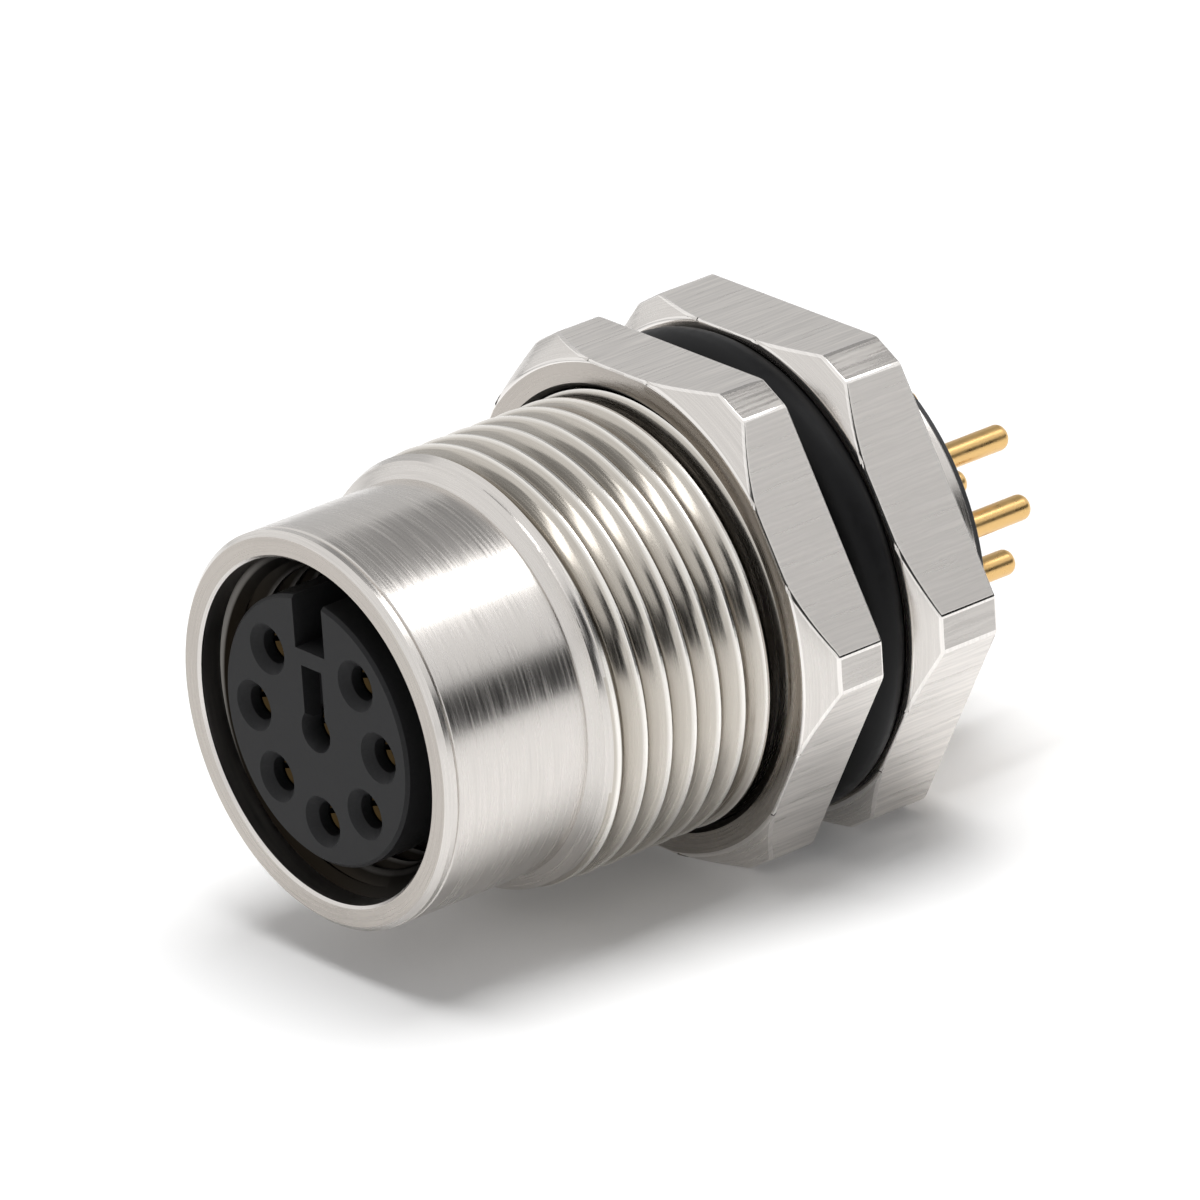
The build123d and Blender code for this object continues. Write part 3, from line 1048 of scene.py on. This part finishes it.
def entry_cutter(sizes, x, z):
    """Cutter for an entry hole of the insert, from its funnel to the contact's passage."""
    face = insert_low.y
    mouth = sizes.mouth_radius if x or z else sizes.centre_mouth_radius
    slope = (mouth - sizes.hole_radius) / sizes.mouth_depth
    outline = [
        (0, face - BEYOND),
        (mouth + slope * BEYOND, face - BEYOND),
        (sizes.hole_radius, face + sizes.mouth_depth),
        (sizes.hole_radius, face + sizes.entry_depth),
        (sizes.passage_radius, face + sizes.entry_depth),
        (sizes.passage_radius, face + sizes.passage_depth),
        (0, face + sizes.passage_depth),
    ]
    cutter = turn("funnel", outline, FUNNEL_STEPS)
    move_across(cutter, x, z)
    return cutter


class RECEPTACLE_OT_insert(bpy.types.Operator):
    """Moulds the insert with its keyway, key slot and entry holes"""

    bl_idname = "receptacle.insert"
    bl_label = "Insert"

    def execute(self, context):
        sizes = context.scene.receptacle_insert
        shell_sizes = context.scene.receptacle_shell
        face, rear = insert_low.y, insert_high.y
        shoulder_rear = shell_low.y + shell_sizes.coupling_depth + shell_sizes.shoulder_thickness
        head = insert_high.x
        outline = [
            (0, face),
            (sizes.barrel_radius - sizes.edge_chamfer, face),
            (sizes.barrel_radius, face + sizes.edge_chamfer),
            (sizes.barrel_radius, shoulder_rear),
            (head, shoulder_rear),
            (head, rear),
            (0, rear),
        ]
        insert = turn("contact_insert_moulding", outline, MOULDED_STEPS)
        keyway_middle = face + (sizes.keyway_length - BEYOND) / 2
        keyway = box_cutter(
            "keyway",
            (sizes.keyway_width, sizes.keyway_length + BEYOND, sizes.barrel_radius),
            (0, keyway_middle, sizes.keyway_floor + sizes.barrel_radius / 2),
        )
        slot_middle = face + (sizes.slot_depth - BEYOND) / 2
        key_slot = box_cutter(
            "key_slot",
            (sizes.slot_width, sizes.slot_depth + BEYOND, sizes.slot_top),
            (0, slot_middle, sizes.slot_top / 2),
        )
        holes = [entry_cutter(sizes, x, z) for x, z in contact_places(sizes)]
        carve(insert, keyway, key_slot, *holes)
        dress(insert, "receptacle", "contact_insert", "black_insert")
        shade(insert)
        return {"FINISHED"}


class RECEPTACLE_OT_contacts(bpy.types.Operator):
    """Turns one slotted contact and copies it to every place"""

    bl_idname = "receptacle.contacts"
    bl_label = "Contacts"

    def execute(self, context):
        sizes = context.scene.receptacle_contact
        front, tip = contact_low.y, contact_high.y
        collar = front + sizes.socket_length
        tail = collar + sizes.collar_length
        tip_arc = []
        arc_points = 8
        for index in range(arc_points + 1):
            turned = math.pi / 2 * index / arc_points
            radius = sizes.tail_radius - sizes.tip_round * (1 - math.cos(turned))
            tip_arc.append((radius, tip - sizes.tip_round * (1 - math.sin(turned))))
        outline = [
            (sizes.bore_radius + sizes.lead_in, front),
            (sizes.socket_radius - sizes.lead_in, front),
            (sizes.socket_radius, front + sizes.lead_in),
            (sizes.socket_radius, collar),
            (sizes.collar_radius, collar),
            (sizes.collar_radius, tail),
            (sizes.root_radius, tail),
            (sizes.root_radius, sizes.root_end),
            (sizes.tail_radius, sizes.root_end),
            *tip_arc,
            (0, tip),
            (0, front + sizes.bore_depth),
            (sizes.bore_radius, front + sizes.bore_depth),
            (sizes.bore_radius, front + sizes.lead_in),
        ]
        contact = turn("contact_turned", outline, SMALL_STEPS)
        across = 2.2 * sizes.socket_radius
        deep = sizes.slot_length + BEYOND
        middle = (0, front + (sizes.slot_length - BEYOND) / 2, 0)
        upright = box_cutter("upright", (sizes.slot_width, deep, across), middle)
        level = box_cutter("level", (across, deep, sizes.slot_width), middle)
        carve(contact, upright, level)
        shade(contact)
        places = contact_places(context.scene.receptacle_insert)
        for count, (x, z) in enumerate(places, start=1):
            copy = copy_piece(contact, f"contact_{count}_turned", x, z)
            dress(copy, "receptacle", f"contact_{count}", "gold_plating")
        bpy.data.objects.remove(contact)
        return {"FINISHED"}


class RECEPTACLE_OT_plate(bpy.types.Operator):
    """Moulds the pin plate that closes the rear"""

    bl_idname = "receptacle.plate"
    bl_label = "Pin plate"

    def execute(self, context):
        sizes = context.scene.receptacle_plate
        front, rear = plate_low.y, plate_high.y
        radius = plate_high.x
        plate_outline = [
            (0, front),
            (sizes.body_radius, front),
            (sizes.body_radius, rear - sizes.rim_thickness),
            (radius, rear - sizes.rim_thickness),
            (radius, rear - sizes.chamfer),
            (radius - sizes.chamfer, rear),
            (0, rear),
        ]
        hole_outline = [
            (0, front - BEYOND),
            (sizes.hole_radius, front - BEYOND),
            (sizes.hole_radius, rear + BEYOND),
            (0, rear + BEYOND),
        ]
        plate = turn("pin_plate_moulding", plate_outline, MOULDED_STEPS)
        for x, z in contact_places(context.scene.receptacle_insert):
            hole = turn("hole", hole_outline, SMALL_STEPS)
            move_across(hole, x, z)
            carve(plate, hole)
        dress(plate, "receptacle", "pin_plate", "black_plate")
        shade(plate)
        return {"FINISHED"}


class RECEPTACLE_OT_inner_pieces(bpy.types.Operator):
    """Gives the pieces that stay inside the shell their finishes"""

    bl_idname = "receptacle.inner_pieces"
    bl_label = "Inner pieces"

    def execute(self, context):
        for node, finish in (("potting", "black_resin"), ("insert_seal", "black_rubber")):
            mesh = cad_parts[node].data
            mesh.materials.clear()
            mesh.materials.append(bpy.data.materials[finish])
        return {"FINISHED"}


def bearing(azimuth, elevation, reach):
    """The point at a distance from the part, with azimuth and elevation in degrees."""
    across, up = math.radians(azimuth), math.radians(elevation)
    level = reach * math.cos(up)
    return Vector((level * math.sin(across), -level * math.cos(across), reach * math.sin(up)))


def stage_camera(settings):
    """The camera at the photograph's angle."""
    data = bpy.data.cameras.new("camera")
    camera = bpy.data.objects.new("camera", data)
    bpy.context.scene.collection.objects.link(camera)
    bpy.context.scene.camera = camera
    data.sensor_width = 36.0
    data.lens = settings.focal_length
    data.clip_start = 0.01
    data.clip_end = 50.0
    back = bearing(math.degrees(settings.azimuth), math.degrees(settings.elevation), 1.0)
    level = (-back).to_track_quat("-Z", "Y")
    camera.rotation_mode = "QUATERNION"
    camera.rotation_quaternion = level @ Quaternion((0, 0, 1), settings.roll)
    camera.location = Vector(settings.aim) + back * settings.distance


def seen_plainly(nodes):
    """1 for camera, glossy and transmission rays, 0 for the light that falls on surfaces."""
    path = nodes.add("ShaderNodeLightPath").outputs
    seen = nodes.math("MAXIMUM", path["Is Camera Ray"], path["Is Glossy Ray"])
    return nodes.math("MAXIMUM", seen, path["Is Transmission Ray"])


def stage_world(settings):
    """White surroundings to look at, soft grey light to fall on the part."""
    world = bpy.data.worlds.new("studio")
    bpy.context.scene.world = world
    world.use_nodes = True
    world.node_tree.nodes.clear()
    nodes = Nodes(world.node_tree)
    mix = nodes.add("ShaderNodeMixShader")
    nodes.link(seen_plainly(nodes), mix.inputs["Fac"])
    for target, strength in zip(mix.inputs[1:], (settings.fill, 1.0)):
        light = nodes.add("ShaderNodeBackground")
        light.inputs["Color"].default_value = (1, 1, 1, 1)
        light.inputs["Strength"].default_value = strength
        nodes.link(light.outputs[0], target)
    output = nodes.add("ShaderNodeOutputWorld")
    nodes.link(mix.outputs[0], output.inputs["Surface"])


def stage_floor(settings):
    """A wide pale floor that keeps the part's shadow."""
    to_object_mode()
    height = cad_lowest.z - settings.floor_drop
    bpy.ops.mesh.primitive_plane_add(size=20.0, location=(0, 0, height))
    floor = bpy.context.object
    floor.name = "floor"
    nodes, shader = new_material("floor_white")
    shader.inputs["Base Color"].default_value = (0.9, 0.9, 0.9, 1)
    shader.inputs["Roughness"].default_value = 0.9
    shader.inputs["Specular IOR Level"].default_value = 0.0
    shader.inputs["Emission Color"].default_value = (1, 1, 1, 1)
    lift = nodes.math("MULTIPLY", seen_plainly(nodes), settings.floor_lift)
    nodes.link(lift, shader.inputs["Emission Strength"])
    floor.data.materials.append(bpy.data.materials["floor_white"])


def studio_card(name, azimuths, elevations, reach, grey):
    """A grey card round the part that only reflections see, between two bearings."""
    to_object_mode()
    bpy.ops.mesh.primitive_grid_add(x_subdivisions=12, y_subdivisions=4, size=1)
    card = bpy.context.object
    card.name = name
    for vertex in card.data.vertices:
        across = azimuths[0] + (azimuths[1] - azimuths[0]) * (vertex.co.x + 0.5)
        up = elevations[0] + (elevations[1] - elevations[0]) * (vertex.co.y + 0.5)
        vertex.co = bearing(across, up, reach)
    finish = name + "_grey"
    nodes, shader = new_material(finish)
    shader.inputs["Base Color"].default_value = (0, 0, 0, 1)
    shader.inputs["Specular IOR Level"].default_value = 0.0
    shader.inputs["Emission Color"].default_value = (grey, grey, grey, 1)
    shader.inputs["Emission Strength"].default_value = 1.0
    card.data.materials.append(bpy.data.materials[finish])
    card.visible_camera = False
    card.visible_diffuse = False
    card.visible_shadow = False


def area_light(name, place, aim, size, power):
    """A soft rectangular lamp aimed at a point."""
    data = bpy.data.lights.new(name, "AREA")
    data.shape = "RECTANGLE"
    data.size, data.size_y = size
    data.energy = power
    lamp = bpy.data.objects.new(name, data)
    bpy.context.scene.collection.objects.link(lamp)
    lamp.location = place
    lamp.rotation_mode = "QUATERNION"
    lamp.rotation_quaternion = (aim - place).to_track_quat("-Z", "Y")
    return lamp


class RECEPTACLE_OT_stage(bpy.types.Operator):
    """Sets up the camera, the floor and the light"""

    bl_idname = "receptacle.stage"
    bl_label = "Stage"

    def execute(self, context):
        settings = context.scene.receptacle_stage
        stage_camera(settings)
        stage_world(settings)
        stage_floor(settings)
        studio_card("dark_card", (95, 160), (-1, 20), reach=0.7, grey=0.02)
        studio_card("edge_card", (58, 118), (15, 42), reach=0.7, grey=0.03)
        studio_card("grey_card", (-183, -128), (32, 75), reach=0.7, grey=0.35)
        studio_card("side_card", (-150, -95), (-1, 32), reach=0.8, grey=0.65)
        aim = Vector((0, -8 * MM, 0))
        key = area_light("key", bearing(155, 60, 0.5), aim, size=(0.12, 0.26), power=0.34)
        key.visible_diffuse = False
        top = area_light("top", bearing(-170, 88, 0.5), aim, size=(0.34, 0.34), power=2.8)
        top.visible_glossy = False
        context.scene.view_settings.view_transform = "Standard"
        return {"FINISHED"}


class RECEPTACLE_PT_panel(bpy.types.Panel):
    """Lists the sizes and the steps that build the receptacle."""

    bl_label = "Panel Receptacle"
    bl_idname = "RECEPTACLE_PT_panel"
    bl_space_type = "VIEW_3D"
    bl_region_type = "UI"
    bl_category = "Receptacle"

    def draw(self, context):
        layout = self.layout
        for operator in STEPS:
            layout.operator(operator.bl_idname)
        for name in GROUPS:
            settings = getattr(context.scene, name)
            box = layout.box()
            for key in settings.bl_rna.properties.keys():
                if key not in {"rna_type", "name"}:
                    box.prop(settings, key)


STEPS = (
    RECEPTACLE_OT_finishes,
    RECEPTACLE_OT_shell,
    RECEPTACLE_OT_nut,
    RECEPTACLE_OT_seal,
    RECEPTACLE_OT_insert,
    RECEPTACLE_OT_contacts,
    RECEPTACLE_OT_plate,
    RECEPTACLE_OT_inner_pieces,
    RECEPTACLE_OT_stage,
)


def register():
    """Registers the settings, the steps and the panel."""
    for name, group in GROUPS.items():
        bpy.utils.register_class(group)
        setattr(bpy.types.Scene, name, PointerProperty(type=group))
    for item in (*STEPS, RECEPTACLE_PT_panel):
        bpy.utils.register_class(item)


def unregister():
    """Removes what register added."""
    for item in (RECEPTACLE_PT_panel, *reversed(STEPS)):
        bpy.utils.unregister_class(item)
    for name, group in reversed(GROUPS.items()):
        delattr(bpy.types.Scene, name)
        bpy.utils.unregister_class(group)


def main():
    """Builds everything in order."""
    register()
    bpy.ops.receptacle.finishes()
    bpy.ops.receptacle.shell()
    bpy.ops.receptacle.nut()
    bpy.ops.receptacle.seal()
    bpy.ops.receptacle.insert()
    bpy.ops.receptacle.contacts()
    bpy.ops.receptacle.plate()
    bpy.ops.receptacle.inner_pieces()
    bpy.ops.receptacle.stage()


if __name__ == "__main__":
    main()
